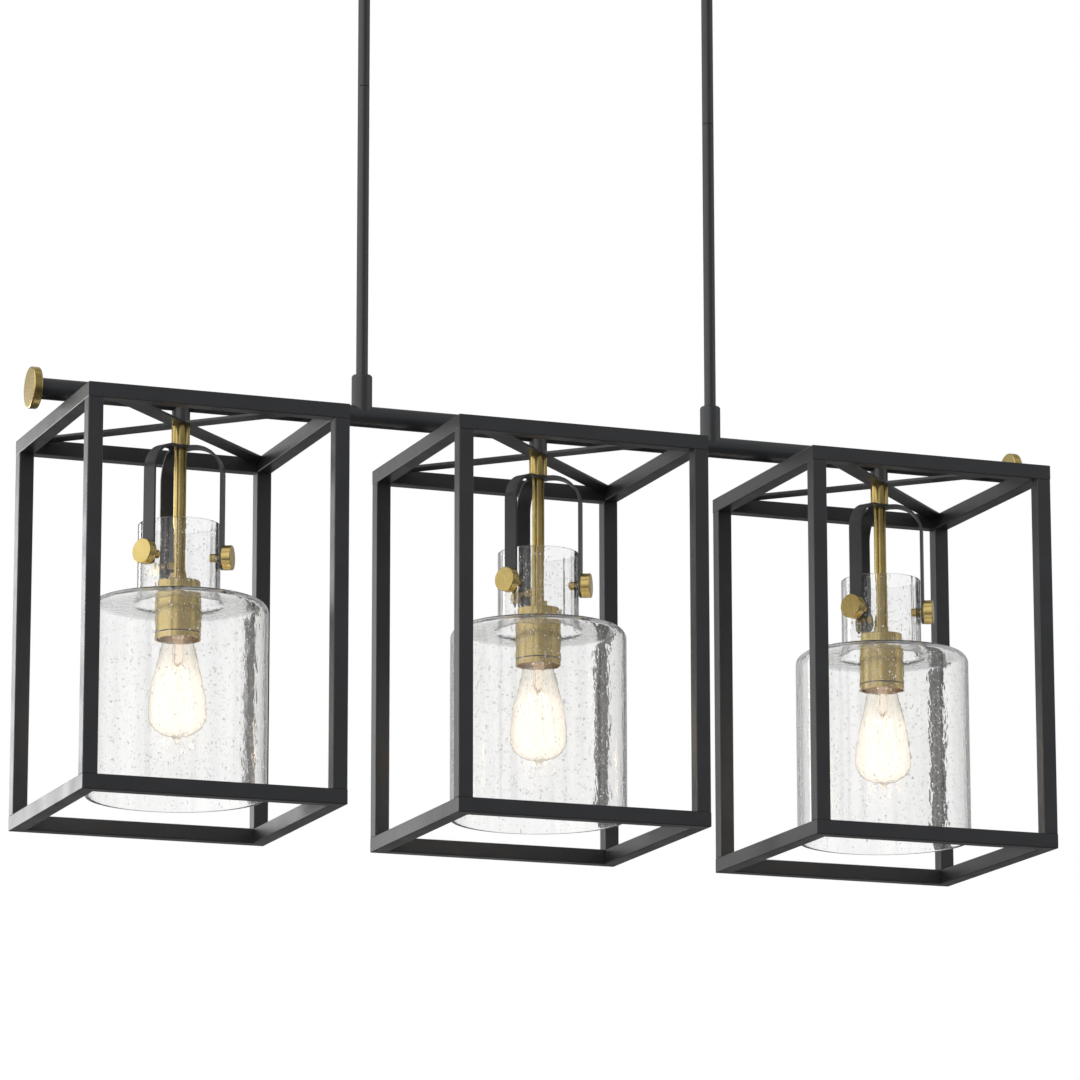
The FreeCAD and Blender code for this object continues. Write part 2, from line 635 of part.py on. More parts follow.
def bulb_cap():
    """The thin screw cap, with round ridges in place of its thread."""
    ridges_top = CAP_BOTTOM + THREAD_PITCH * (THREAD_RIDGES + 0.5)
    edges = [line((CAP_ROOT_RADIUS - CAP_WALL, CAP_BOTTOM), (CAP_ROOT_RADIUS, CAP_BOTTOM))]
    level = CAP_BOTTOM + THREAD_PITCH / 2
    edges += [line((CAP_ROOT_RADIUS, CAP_BOTTOM), (CAP_ROOT_RADIUS, level))]
    for _ in range(THREAD_RIDGES):
        crest = level + THREAD_PITCH / 2
        points = [at(CAP_ROOT_RADIUS, 0, level), at(CAP_RADIUS, 0, crest)]
        points.append(at(CAP_ROOT_RADIUS, 0, level + THREAD_PITCH))
        edges.append(Part.Arc(*points).toShape())
        level += THREAD_PITCH
    edges += chain([(CAP_ROOT_RADIUS, ridges_top), (CAP_TOP_RADIUS, CAP_TOP),
                    (CAP_TOP_RADIUS - CAP_WALL, CAP_TOP), (CAP_ROOT_RADIUS - CAP_WALL, ridges_top),
                    (CAP_ROOT_RADIUS - CAP_WALL, CAP_BOTTOM)])
    return turned(edges)


def bulb_profile(inset):
    """The bulb's side from the cap's edge to its crown, inset by a wall."""
    neck = BULB_NECK_RADIUS - inset
    widest = BULB_WIDEST - inset
    rise = widest - neck
    drop = BULB_WIDEST_DROP
    side = [(neck, CAP_BOTTOM), (neck + 0.05 * rise, CAP_BOTTOM - 0.07 * drop)]
    side += [(neck + 0.43 * rise, CAP_BOTTOM - 0.39 * drop), (neck + 0.73 * rise, CAP_BOTTOM - 0.61 * drop)]
    side += [(neck + 0.93 * rise, CAP_BOTTOM - 0.83 * drop), (widest, CAP_BOTTOM - drop)]
    fall = BULB_CROWN_DROP - inset - drop
    low = CAP_BOTTOM - drop
    side += [(0.965 * widest, low - 0.34 * fall), (0.81 * widest, low - 0.67 * fall)]
    side += [(0.51 * widest, low - 0.91 * fall), (BULB_CROWN_RADIUS, low - fall)]
    return side


def bulb_glass():
    """A thin pear-shaped envelope with a drawn tip, open into the cap."""
    outer_side = bulb_profile(0.0)
    inner_side = bulb_profile(BULB_WALL)
    spigot = CAP_ROOT_RADIUS - CAP_WALL
    crown = outer_side[-1]
    tip_neck = (BULB_TIP_RADIUS, crown[1] - (BULB_TIP_DROP - BULB_CROWN_DROP) / 3)
    tip_end = (0, CAP_BOTTOM - BULB_TIP_DROP)
    tip_side = (BULB_TIP_RADIUS / 2, tip_end[1] + BULB_TIP_ROUNDING)
    edges = chain([(spigot - BULB_WALL, CAP_BOTTOM + BULB_SPIGOT), (spigot, CAP_BOTTOM + BULB_SPIGOT),
                   (spigot, CAP_BOTTOM), outer_side[0]])
    edges += [spline(outer_side), spline([crown, tip_neck, tip_side, tip_end])]
    edges += [line(tip_end, (0, inner_side[-1][1])), line((0, inner_side[-1][1]), inner_side[-1])]
    edges += [spline(inner_side), line(inner_side[0], (spigot - BULB_WALL, CAP_BOTTOM))]
    edges += [line((spigot - BULB_WALL, CAP_BOTTOM), (spigot - BULB_WALL, CAP_BOTTOM + BULB_SPIGOT))]
    return turned(edges)


def save(name, shape):
    """Writes one node, given as a shape or as a list of solids."""
    if isinstance(shape, list):
        shape = Part.makeCompound(shape)
    for solid in shape.Solids:
        if not solid.isValid() or solid.Volume <= 0:
            raise ValueError(name + " has a solid that is not valid")
    shape.exportStep(os.path.join("parts", name + ".step"))
    print(name, len(shape.Solids), round(shape.Volume, 1))


def save_ceiling_side():
    save("mounting_bracket", mounting_bracket())
    save("ground_screw", ground_screw())
    save("canopy_studs", canopy_studs())
    save("stud_nuts", stud_nuts())
    save("canopy", canopy())
    save("canopy_cap_nuts", canopy_cap_nuts())
    save("swivel_ring_nuts", ring_nuts())
    seat = swivel_seat()
    for side, place in rod_places():
        save("swivel_seat_" + side, moved(seat, place))


def save_rods_and_bar():
    ball = swivel_ball()
    upper = rod_section(ROD_TOP)
    lower = rod_section(ROD_SEAM)
    fitting = rod_fitting()
    for side, place in rod_places():
        save("swivel_ball_" + side, moved(ball, place))
        save("rod_upper_" + side, moved(upper, place))
        save("rod_lower_" + side, moved(lower, place))
        save("rod_fitting_" + side, moved(fitting, place))
    save("threaded_nipples", threaded_nipples())
    save("main_bar", main_bar())
    for side, sign in SIDES:
        save("end_cap_" + side, end_cap(sign))


def save_lamps():
    save("stem_couplers", stem_couplers())
    save("stem_collars", stem_collars())
    save("lampholder_contacts", lampholder_contacts())
    makers = {"cage_frame": cage_frame, "stem": stem, "shade_harness": shade_harness,
              "glass_shade": glass_shade, "socket_cup": socket_cup, "lampholder": lampholder,
              "bulb_tip": bulb_tip, "bulb_cap": bulb_cap, "bulb_glass": bulb_glass}
    for piece, maker in makers.items():
        shape = maker()
        for name, place in lamp_places():
            save(piece + "_" + name, moved(shape, place))
    for side, degrees in screw_turns():
        screw = thumb_screw(degrees)
        for name, place in lamp_places():
            save("thumb_screw_" + name + "_" + side, moved(screw, place))


def main():
    os.makedirs("parts", exist_ok=True)
    save_ceiling_side()
    save_rods_and_bar()
    save_lamps()


main()
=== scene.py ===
"""Looks of a linear island pendant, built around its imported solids.

Metres. X runs along the bar, Z points up, and the origin lies on the ceiling.
The glass shades, the bulbs' glass and their screw caps are modelled here. All else keeps its solid.
"""
import json
import math

import bmesh
import bpy
import numpy as np
from mathutils import Matrix, Vector


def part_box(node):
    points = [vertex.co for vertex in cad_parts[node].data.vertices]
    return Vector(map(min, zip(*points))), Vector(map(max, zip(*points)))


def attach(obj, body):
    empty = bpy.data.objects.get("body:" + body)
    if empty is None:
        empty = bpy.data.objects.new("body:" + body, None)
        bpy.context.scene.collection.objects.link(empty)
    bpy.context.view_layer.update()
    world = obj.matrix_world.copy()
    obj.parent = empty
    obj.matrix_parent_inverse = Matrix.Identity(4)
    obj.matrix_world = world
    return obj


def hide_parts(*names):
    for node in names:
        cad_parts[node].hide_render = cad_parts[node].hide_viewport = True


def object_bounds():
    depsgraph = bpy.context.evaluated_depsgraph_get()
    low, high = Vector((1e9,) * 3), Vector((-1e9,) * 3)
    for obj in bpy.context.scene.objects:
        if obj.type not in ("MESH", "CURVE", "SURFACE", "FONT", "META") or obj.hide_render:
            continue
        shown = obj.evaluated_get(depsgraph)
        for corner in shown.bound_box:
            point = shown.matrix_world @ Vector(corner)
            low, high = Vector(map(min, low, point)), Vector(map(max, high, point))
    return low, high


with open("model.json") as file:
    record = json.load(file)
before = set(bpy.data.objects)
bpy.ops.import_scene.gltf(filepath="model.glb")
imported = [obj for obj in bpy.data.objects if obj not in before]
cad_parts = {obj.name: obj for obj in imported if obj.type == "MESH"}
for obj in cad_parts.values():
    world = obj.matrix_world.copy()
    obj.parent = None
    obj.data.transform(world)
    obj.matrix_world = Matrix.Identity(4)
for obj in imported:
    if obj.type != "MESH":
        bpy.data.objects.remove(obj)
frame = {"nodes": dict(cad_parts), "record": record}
cad_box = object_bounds()

LAMPS = ("left", "middle", "right")
SCREW_AZIMUTHS = (90.0, 210.0, 330.0)
SMOOTH_ANGLE = 40.0
WELD_DISTANCE = 1e-6
ON_AXIS = 1e-9

# Glass shade, as in the solids
GLASS_WALL = 0.0035
NECK_RADIUS = 0.0412
NECK_LENGTH = 0.0785
NECK_FILLET = 0.005
SHOULDER_FILLET = 0.011
GLASS_RIM = 0.0012
SCREW_BELOW_RIM = 0.035
GLASS_HOLE_RADIUS = 0.005

# Fineness of the shade's mesh
GLASS_SEGMENTS = 256
GLASS_ROW = 0.006
RIM_STEPS = 4
NECK_STEPS = 8
SHOULDER_STEPS = 12
HOLE_SEGMENTS = 40
SHADE_SEED = 11

# Upright waves inside the shade's shoulder and neck: height, least and most waves in a turn, drift
WAVE_HEIGHT = 0.00016
WAVE_COUNTS = (3, 45)
WAVE_DRIFT = 9.0

# Air bubbles in the glass. A beta distribution makes most of them small
# Each is flattened across the wall and drawn out upwards
BUBBLES_PER_SHADE = 5250
BUBBLE_RADII = (0.00020, 0.00095)
BUBBLE_SIZE_SHAPE = (1.3, 3.6)
BUBBLE_FLATNESS = 0.8
BUBBLE_STRETCHES = (1.0, 2.1)
ROUND_BUBBLE_RADIUS = 0.00068
BUBBLE_COVER = 0.0002
HOLE_MARGIN = 0.0065
NECK, SHOULDER, BODY = range(3)

# Levels between which the glass clears, around its shoulder
MILKY_LEVELS = (-0.905, -0.875)

# Bulb: the solids' outline with a thinner wall
BULB_WALL = 0.0005
BULB_NECK_RADIUS = 0.0132
BULB_SPIGOT_RADIUS = 0.0117
BULB_SPIGOT = 0.005
BULB_WIDEST = 0.0289
BULB_WIDEST_DROP = 0.085
BULB_CROWN_RADIUS = 0.006
BULB_CROWN_DROP = 0.1085
BULB_TIP_DROP = 0.1165
BULB_TIP_RADIUS = 0.0026
BULB_TIP_END = 0.001
BULB_LAP = 0.0005
BULB_SEGMENTS = 96
BULB_STEPS = 8
TIP_STEPS = 6
BULB_SMOOTH_ANGLE = 60.0

# The bulb's side as shares of its swell and drop, and its crown as shares of its width and fall
BULB_SIDE = ((0, 0), (0.05, 0.07), (0.43, 0.39), (0.73, 0.61), (0.93, 0.83), (1, 1))
BULB_CROWN = ((0.965, 0.34), (0.81, 0.67), (0.51, 0.91))

# Glass mount inside the bulb, in radii and drops below the cap's edge
MOUNT_TOP = (0.00896, 0.0015)
MOUNT_FLARE = ((0.0112, 0.001), (0.008, 0.0035), (0.0055, 0.009), (0.0050, 0.016), (0.0050, 0.032))
MOUNT_PRESS = ((0.0034, 0.036), (0.0013, 0.039))
MOUNT_BUTTON_RADIUS = 0.0024
MOUNT_BUTTON_TURNS = (57, -90)
MOUNT_ROD_DROP = 0.058
MOUNT_SEGMENTS = 32
MOUNT_STEPS = 5
BUTTON_STEPS = 8

# Filament, its two leads and its hooks, with drops below the cap's edge
FILAMENT_LEGS = 8
FILAMENT_STEPS = 6
FILAMENT_TOP_DROP = 0.041
FILAMENT_TOP_RADIUS = 0.0090
FILAMENT_LOW_DROP = 0.090
FILAMENT_LOW_RADIUS = 0.0160
FILAMENT_THICKNESS = 0.00013
LEAD_THICKNESS = 0.00016
LEAD_DROP = 0.034
LEAD_REACHES = (0.25, 0.6)
LEAD_RISE = 0.004
HOOK_THICKNESS = 0.0001
HOOK_REACH = 0.7
HOOK_TOP_DROP = 0.042
WIRE_SIDES = 8
OFF_EVERY_WIRE = Vector((0.31, 0.17, 0.93)).normalized()

# Painted glow of the bulb's glass round the filament and above it, and the levels between which it fades
BULB_PAINTED_GLOW = (0.10, 0.01)
BULB_PAINTED_GLOW_LEVELS = (-0.975, -0.950)

# Black ring in the socket cup's groove: painted shade of the groove
GROOVE_SHADE_RADII = (0.0217, 0.0226)
GROOVE_SHADE_HEIGHT = 0.0012
GROOVE_SHADE_RISE = 0.0061
GROOVE_SHADE_SEGMENTS = 96

# Screw cap
CAP_ROOT_RADIUS = 0.0123
CAP_CREST_RADIUS = 0.0130
CAP_TOP_RADIUS = 0.0080
CAP_LENGTH = 0.022
CAP_WALL = 0.0005
CAP_TAPER = 1.4
THREAD_PITCH = 0.003629
THREAD_TURNS = 4.5
THREAD_FADE = 0.4
THREAD_SEGMENTS = 72
THREAD_ROWS_PER_TURN = 12

# Camera, solved from the cages' straight edges
CAMERA_PLACE = Vector((-1.92207, -5.11307, -2.01934))
CAMERA_YAW = math.radians(20.621)
CAMERA_PITCH = math.radians(12.528)
CAMERA_ROLL = -0.00117
CAMERA_LENS = 183.12
SENSOR_WIDTH = 36.0

# Brightness that metal and paint mirror: shares of a turn from -Y through -X, +Y and +X
SIDE_LIGHT = (
    (0.0, 0.20), (0.055, 0.24), (0.085, 0.72), (0.17, 0.78), (0.22, 0.90), (0.32, 0.90), (0.36, 0.60),
    (0.39, 0.36), (0.48, 0.33), (0.55, 0.42), (0.59, 0.28), (0.67, 0.24), (0.76, 0.28), (0.81, 0.50),
    (0.85, 0.44), (0.90, 0.20), (0.97, 0.17), (1.0, 0.20))
MIRRORED_LIGHT = 1.4
# The same from straight down to straight up, and what clear glass shows from down to up
LEVEL_LIGHT = ((0.0, 0.08), (0.34, 0.12), (0.39, 0.62), (0.50, 0.62), (0.56, 1.0), (0.80, 1.0), (1.0, 0.8))
THROUGH_LIGHT = ((0.0, 0.7), (0.25, 0.85), (0.38, 1.0), (0.70, 1.0), (0.85, 0.85), (1.0, 0.75))
WORLD_LIGHT = 0.55
# How much of the clear background a ray keeps that metal mirrored before it left through glass
MIRRORED_CLEAR = 0.07

# Soft lamps. Metal mirrors only the strip on the left
LIT_MIDDLE = (0, 0, -0.8)
SOFT_BOXES = {
    "key": {"place": (-2.6, -3.0, 0.4), "target": LIT_MIDDLE, "size": (2.2, 2.2), "power": 60},
    "fill": {"place": (2.8, -2.4, -0.2), "target": LIT_MIDDLE, "size": (2.0, 2.0), "power": 30},
    "back": {"place": (0.4, 3.2, 0.6), "target": LIT_MIDDLE, "size": (2.4, 1.6), "power": 35},
    "left_strip": {
        "place": (-0.98, 1.15, -0.87), "target": (-0.5, 0, -0.9), "size": (0.5, 0.8), "power": 5.0,
        "mirrored": True},
}

# Round floor: its depth below the part, and the grey that it throws back on the part
FLOOR_BELOW = 1.325
FLOOR_RADIUS = 4.5
FLOOR_SEGMENTS = 128
FLOOR_GREYS = (0.90, 0.92)
FLOOR_BOUNCE = 0.12


# Node helpers

def new_material(name):
    """A material with a Principled shader: the material, its node tree and that shader."""
    material = bpy.data.materials.new(name)
    material.use_nodes = True
    return material, material.node_tree, material.node_tree.nodes["Principled BSDF"]


def add_node(tree, kind, inputs=None, **settings):
    """A node of a kind with its settings, and with its inputs linked or filled in."""
    node = tree.nodes.new("ShaderNode" + kind)
    for name, value in settings.items():
        setattr(node, name, value)
    for name, value in (inputs or {}).items():
        if isinstance(value, bpy.types.NodeSocket):
            tree.links.new(value, node.inputs[name])
        else:
            node.inputs[name].default_value = value
    return node


def calculated(tree, operation, first, second):
    """What a Math node makes of two values."""
    return add_node(tree, "Math", {0: first, 1: second}, operation=operation).outputs[0]


def own_place(tree):
    """The object's own coordinates."""
    return add_node(tree, "TexCoord").outputs["Object"]


def stretched_place(tree, scale):
    """The object's own coordinates, scaled along each axis."""
    return add_node(tree, "Mapping", {"Vector": own_place(tree), "Scale": scale}).outputs["Vector"]


def noise(tree, vector, scale, detail=2.0):
    """A noise between 0 and 1."""
    return add_node(tree, "TexNoise", {"Vector": vector, "Scale": scale, "Detail": detail}).outputs["Fac"]


def spread(tree, value, low, high, start=0.3, end=0.7):
    """A value moved from one range to another."""
    ranges = {"Value": value, "From Min": start, "From Max": end, "To Min": low, "To Max": high}
    return add_node(tree, "MapRange", ranges).outputs["Result"]


def colour_between(tree, shader, factor, dark, bright):
    """Gives the shader a base colour between two colours."""
    mix = add_node(tree, "Mix", data_type="RGBA")
    tree.links.new(factor, mix.inputs[0])
    for socket, colour in ((mix.inputs[6], dark), (mix.inputs[7], bright)):
        socket.default_value = (*colour, 1.0)
    tree.links.new(mix.outputs[2], shader.inputs["Base Color"])


def relief(tree, shader, height, distance):
    """Bumps of a height, in metres, on the shader's surface."""
    bump = add_node(tree, "Bump", {"Height": height, "Distance": distance, "Strength": 1.0})
    tree.links.new(bump.outputs["Normal"], shader.inputs["Normal"])


# Materials

def metal(name, dark, bright, roughness, grain, grain_depth):
    """A metal with a fine grain along its stretch and a slow change of tone."""
    material, tree, shader = new_material(name)
    shader.inputs["Metallic"].default_value = 1.0
    lines = noise(tree, stretched_place(tree, grain), 1.0, 3.0)
    tone = noise(tree, own_place(tree), 60.0)
    colour_between(tree, shader, spread(tree, tone, 0, 1), dark, bright)
    tree.links.new(spread(tree, lines, *roughness), shader.inputs["Roughness"])
    relief(tree, shader, lines, grain_depth)
    return material


def black_paint():
    """Satin powder coat with a fine orange peel."""
    material, tree, shader = new_material("black_paint")
    cloud = noise(tree, own_place(tree), 30.0)
    peel = noise(tree, own_place(tree), 900.0, 1.0)
    shade = spread(tree, cloud, 0, 1)
    colour_between(tree, shader, shade, (0.0150, 0.0160, 0.0182), (0.0186, 0.0199, 0.0226))
    tree.links.new(spread(tree, cloud, 0.33, 0.42), shader.inputs["Roughness"])
    shader.inputs["Specular IOR Level"].default_value = 0.95
    relief(tree, shader, peel, 0.000012)
    return material


def porcelain():
    """White glaze with a faint unevenness."""
    material, tree, shader = new_material("porcelain")
    cloud = noise(tree, own_place(tree), 120.0)
    colour_between(tree, shader, cloud, (0.78, 0.76, 0.70), (0.86, 0.85, 0.80))
    tree.links.new(spread(tree, cloud, 0.12, 0.22), shader.inputs["Roughness"])
    relief(tree, shader, cloud, 0.0001)
    return material


def green_steel():
    """The green dip of a ground screw."""
    material, tree, shader = new_material("green_steel")
    cloud = noise(tree, own_place(tree), 400.0)
    shader.inputs["Metallic"].default_value = 0.8
    colour_between(tree, shader, cloud, (0.03, 0.22, 0.08), (0.06, 0.34, 0.13))
    tree.links.new(spread(tree, cloud, 0.28, 0.4), shader.inputs["Roughness"])
    return material


def let_lamps_through(material, tree, shader, tint):
    """Makes shadow rays pass a glass shader with only a tint."""
    clear = add_node(tree, "BsdfTransparent", {"Color": (*tint, 1.0)})
    shadow = add_node(tree, "LightPath").outputs["Is Shadow Ray"]
    mix = add_node(tree, "MixShader", {0: shadow, 1: shader.outputs[0], 2: clear.outputs[0]})
    tree.links.new(mix.outputs[0], tree.nodes["Material Output"].inputs["Surface"])
    return material


def seeded_glass():
    """Clear blown glass with upright streaks, a little milky below its neck."""
    material, tree, shader = new_material("seeded_glass")
    shader.inputs["IOR"].default_value = 1.5
    streaks = noise(tree, stretched_place(tree, (75, 75, 3)), 1.0, 3.0)
    clearness = spread(tree, streaks, 0, 1, 0.35, 0.65)
    colour_between(tree, shader, clearness, (0.945, 0.95, 0.95), (0.99, 0.99, 0.985))
    tree.links.new(spread(tree, streaks, 0.0, 0.02), shader.inputs["Roughness"])
    level = add_node(tree, "SeparateXYZ", {0: own_place(tree)}).outputs["Z"]
    tree.links.new(spread(tree, level, 0.985, 0.995, *MILKY_LEVELS), shader.inputs["Transmission Weight"])
    relief(tree, shader, noise(tree, stretched_place(tree, (130, 130, 70)), 1.0, 2.5), 0.00014)
    return let_lamps_through(material, tree, shader, (0.94, 0.94, 0.94))


def glass_seeds():
    """The skin of the seeds in the glass, silvery where light catches it."""
    material, tree, shader = new_material("glass_seeds")
    shader.inputs["Transmission Weight"].default_value = 0.3
    shader.inputs["IOR"].default_value = 1.5
    haze = noise(tree, own_place(tree), 500.0)
    colour_between(tree, shader, haze, (0.95, 0.955, 0.955), (0.99, 0.99, 0.985))
    tree.links.new(spread(tree, haze, 0.15, 0.3), shader.inputs["Roughness"])
    return let_lamps_through(material, tree, shader, (0.96, 0.96, 0.96))


def bulb_glass():
    """Thin clear glass with a painted warm glow: the glass itself emits light round the filament, fading
    above it.
    """
    material, tree, shader = new_material("bulb_glass")
    shader.inputs["Transmission Weight"].default_value = 1.0
    shader.inputs["IOR"].default_value = 1.47
    haze = noise(tree, own_place(tree), 80.0)
    colour_between(tree, shader, haze, (0.985, 0.955, 0.90), (1.0, 0.975, 0.93))
    shader.inputs["Roughness"].default_value = 0.02
    # Painted glow: the glass gives off warm light of its own, standing in for the filament's light
    shader.inputs["Emission Color"].default_value = (1.0, 0.88, 0.74, 1.0)
    level = add_node(tree, "SeparateXYZ", {0: own_place(tree)}).outputs["Z"]
    tree.links.new(spread(tree, level, *BULB_PAINTED_GLOW, *BULB_PAINTED_GLOW_LEVELS), shader.inputs["Emission Strength"])
    return let_lamps_through(material, tree, shader, (0.98, 0.96, 0.92))


def mount_glass():
    """The clear, slightly warm-tinted glass of the bulb's inner mount, with a painted glow that stands in
    for the light of the filament beside it.
    """
    material, tree, shader = new_material("mount_glass")
    shader.inputs["Transmission Weight"].default_value = 1.0
    shader.inputs["IOR"].default_value = 1.5
    haze = noise(tree, own_place(tree), 300.0)
    colour_between(tree, shader, haze, (0.93, 0.88, 0.82), (0.98, 0.95, 0.90))
    shader.inputs["Roughness"].default_value = 0.05
    # Painted glow: the mount glass itself gives off a little warm light
    shader.inputs["Emission Color"].default_value = (1.0, 0.80, 0.66, 1.0)
    shader.inputs["Emission Strength"].default_value = 0.12
    return let_lamps_through(material, tree, shader, (0.95, 0.93, 0.90))


def glowing_filament():
    """Carbon thread at a warm glow, a little uneven along its length."""
    material, tree, shader = new_material("glowing_filament")
    shader.inputs["Base Color"].default_value = (0.05, 0.04, 0.03, 1.0)
    shader.inputs["Roughness"].default_value = 0.6
    uneven = noise(tree, own_place(tree), 150.0)
    tree.links.new(spread(tree, uneven, 80.0, 110.0), shader.inputs["Emission Strength"])
    shader.inputs["Emission Color"].default_value = (1.0, 0.66, 0.34, 1.0)
    return material


METALS = {
    "satin_brass": {
        "dark": (0.64, 0.475, 0.165), "bright": (0.72, 0.56, 0.225),
        "roughness": (0.23, 0.28), "grain": (900, 900, 30), "grain_depth": 0.0000004},
    "zinc_steel": {
        "dark": (0.50, 0.51, 0.53), "bright": (0.66, 0.67, 0.69),
        "roughness": (0.28, 0.42), "grain": (80, 900, 900), "grain_depth": 0.000004},
    "contact_metal": {
        "dark": (0.70, 0.50, 0.22), "bright": (0.80, 0.60, 0.30),
        "roughness": (0.22, 0.34), "grain": (300, 300, 60), "grain_depth": 0.00001},
    "cap_metal": {
        "dark": (0.62, 0.56, 0.42), "bright": (0.74, 0.68, 0.54),
        "roughness": (0.24, 0.36), "grain": (200, 200, 900), "grain_depth": 0.00001},
    "tip_solder": {
        "dark": (0.42, 0.41, 0.39), "bright": (0.60, 0.59, 0.57),
        "roughness": (0.35, 0.5), "grain": (500, 500, 500), "grain_depth": 0.00003},
    "hook_wire": {
        "dark": (0.70, 0.66, 0.60), "bright": (0.82, 0.79, 0.74),
        "roughness": (0.3, 0.4), "grain": (600, 600, 60), "grain_depth": 0.000001},
}
MATERIALS = {name: metal(name, **look) for name, look in METALS.items()}
for make in (black_paint, porcelain, green_steel, seeded_glass, glass_seeds, bulb_glass, mount_glass,
             glowing_filament):
    MATERIALS[make.__name__] = make()


def dress_solids():
    """Gives each CAD node the material of its slot in the record."""
    for row in frame["record"]["subparts"]:
        piece = frame["nodes"][row["node"]]
        material = MATERIALS[row["material_slot"]]
        for place in piece.material_slots:
            place.material = material
        if not piece.material_slots:
            piece.data.materials.append(material)


# Shapes

def arc(centre, radius, start, end, steps):
    """Points on an arc about (radius, level), from one angle to another in degrees."""
    points = []
    for step in range(steps + 1):
        turn = math.radians(start + (end - start) * step / steps)
        points.append((centre[0] + radius * math.cos(turn), centre[1] + radius * math.sin(turn)))
    return points


def run(a, b, longest):
    """Points from a up to b, without b, no further apart than a length."""
    steps = max(1, math.ceil(math.dist(a, b) / longest))
    return [(a[0] + (b[0] - a[0]) * k / steps, a[1] + (b[1] - a[1]) * k / steps) for k in range(steps)]


def smooth_through(points, steps):
    """A Catmull-Rom curve through the points."""
    ends = [2 * np.array(points[0]) - points[1]] + [np.array(p) for p in points]
    ends.append(2 * np.array(points[-1]) - points[-2])
    curve = []
    for p0, p1, p2, p3 in zip(ends, ends[1:], ends[2:], ends[3:]):
        for step in range(steps):
            t = step / steps
            part = 2 * p1 + (p2 - p0) * t + (2 * p0 - 5 * p1 + 4 * p2 - p3) * t ** 2
            part = part + (3 * p1 - p0 - 3 * p2 + p3) * t ** 3
            curve.append(tuple(part / 2))
    curve.append(tuple(points[-1]))
    return curve


def lathe(outline, segments, closed, radius_at=None):
    """Vertices and faces of an outline of (radius, level) points turned about Z.

    A closed outline makes a ring. An open one starts and ends on the axis.
    """
    vertices, rows, faces = [], [], []
    for index, (radius, level) in enumerate(outline):
        if radius < ON_AXIS:
            rows.append([len(vertices)] * segments)
            vertices.append((0.0, 0.0, level))
            continue
        rows.append(list(range(len(vertices), len(vertices) + segments)))
        for segment in range(segments):
            turn = 2 * math.pi * segment / segments
            reach = radius if radius_at is None else radius_at(index, radius, level, turn)
            vertices.append((reach * math.cos(turn), reach * math.sin(turn), level))
    pairs = list(zip(rows, rows[1:]))
    if closed:
        pairs.append((rows[-1], rows[0]))
    for upper, lower in pairs:
        for segment in range(segments):
            after = (segment + 1) % segments
            corners = [upper[segment], lower[segment], lower[after], upper[after]]
            faces.append([corner for k, corner in enumerate(corners) if corner != corners[k - 1]])
    return vertices, faces


def smooth(mesh, angle=SMOOTH_ANGLE):
    """Makes a mesh smooth, with sharp edges past an angle."""
    mesh.shade_smooth()
    mesh.set_sharp_from_angle(angle=math.radians(angle))


def mesh_object(name, vertices, faces, material, smooth_angle=SMOOTH_ANGLE):
    """A new smooth object of one material."""
    mesh = bpy.data.meshes.new(name)
    mesh.from_pydata(vertices, [], faces)
    mesh.materials.append(MATERIALS[material])
    smooth(mesh, smooth_angle)
    piece = bpy.data.objects.new(name, mesh)
    bpy.context.scene.collection.objects.link(piece)
    return piece


def weld(piece):
    """Joins vertices that lie on each other and turns all faces outwards."""
    shape = bmesh.new()
    shape.from_mesh(piece.data)
    bmesh.ops.remove_doubles(shape, verts=shape.verts, dist=WELD_DISTANCE)
    bmesh.ops.recalc_face_normals(shape, faces=shape.faces)
    shape.to_mesh(piece.data)
    shape.free()


def place_piece(piece, place, body, slot, *replaced):
    """Moves a piece's mesh to its place, ties it to its body and hides the nodes that it replaces."""
    piece.data.transform(Matrix.Translation(place))
    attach(piece, body)
    if replaced:
        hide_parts(*replaced)
    return piece


# Glass shade

def shade_radius():
    """The outer radius of the shades' bodies."""
    low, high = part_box("glass_shade_" + LAMPS[0])
    return (high.x - low.x) / 2


def shade_outline(length):
    """The shade's section, from its rim at level 0 down outside and back up inside.

    With it comes how many of its points stay even: those that lie before the inner shoulder's bend.
    """
    body_radius = shade_radius()
    neck_in, body_in = NECK_RADIUS - GLASS_WALL, body_radius - GLASS_WALL
    neck_centre = (NECK_RADIUS + NECK_FILLET, -NECK_LENGTH + NECK_FILLET)
    body_centre = (body_radius - SHOULDER_FILLET, -NECK_LENGTH - SHOULDER_FILLET)
    rim = GLASS_RIM
    points = arc((NECK_RADIUS - rim, -rim), rim, 90, 0, RIM_STEPS)
    points += run(points[-1], (NECK_RADIUS, neck_centre[1]), GLASS_ROW)[1:]
    points += arc(neck_centre, NECK_FILLET, 180, 270, NECK_STEPS)
    points += run(points[-1], (body_centre[0], -NECK_LENGTH), GLASS_ROW)[1:]
    points += arc(body_centre, SHOULDER_FILLET, 90, 0, SHOULDER_STEPS)
    points += run(points[-1], (body_radius, -length + rim), GLASS_ROW)[1:]
    points += arc((body_radius - rim, -length + rim), rim, 0, -90, RIM_STEPS)
    points += arc((body_in + rim, -length + rim), rim, 270, 180, RIM_STEPS)
    points += run(points[-1], (body_in, body_centre[1]), GLASS_ROW)[1:]
    even = len(points) + 1
    points += arc(body_centre, SHOULDER_FILLET - GLASS_WALL, 0, 90, SHOULDER_STEPS)
    points += run(points[-1], (neck_centre[0], -NECK_LENGTH - GLASS_WALL), GLASS_ROW)[1:]
    points += arc(neck_centre, NECK_FILLET + GLASS_WALL, 270, 180, NECK_STEPS)
    points += run(points[-1], (neck_in, -rim), GLASS_ROW)[1:]
    points += arc((neck_in + rim, -rim), rim, 180, 90, RIM_STEPS)
    return points, even


